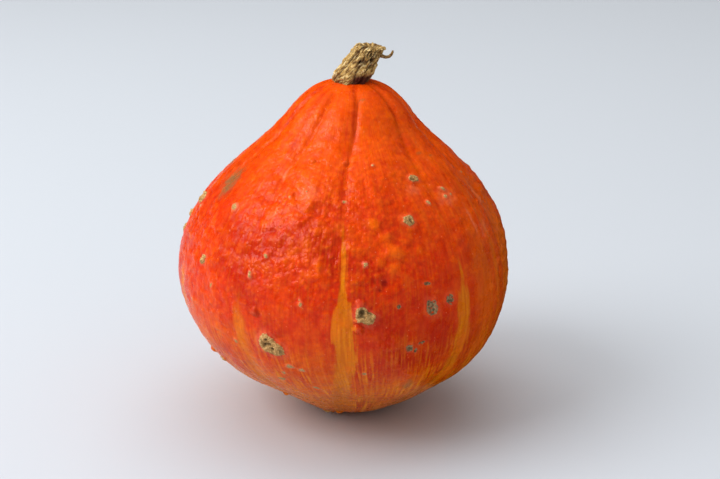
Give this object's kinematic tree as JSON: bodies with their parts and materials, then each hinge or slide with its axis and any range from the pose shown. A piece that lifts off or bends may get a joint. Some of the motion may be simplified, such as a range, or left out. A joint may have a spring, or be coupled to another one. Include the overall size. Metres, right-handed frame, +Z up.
{
  "type": "red kuri squash",
  "caption": "Whole teardrop-shaped winter squash with a ribbed, warty orange-red rind and a short, dried, leaning stem.",
  "frame": {"origin": "on the surface that the squash stands on, under the middle of its bounding box", "axes": "+Z up along the fruit from the blossom end to the stem, -Y towards the front, +X to the right, the way the stem leans"},
  "size_m": [0.1702, 0.1698, 0.1913],
  "materials": {
    "rind": "satin",
    "cork": "matte"
  },
  "bodies": {
    "root": {"fruit": "rind", "stem": "cork"}
  },
  "joints": []
}
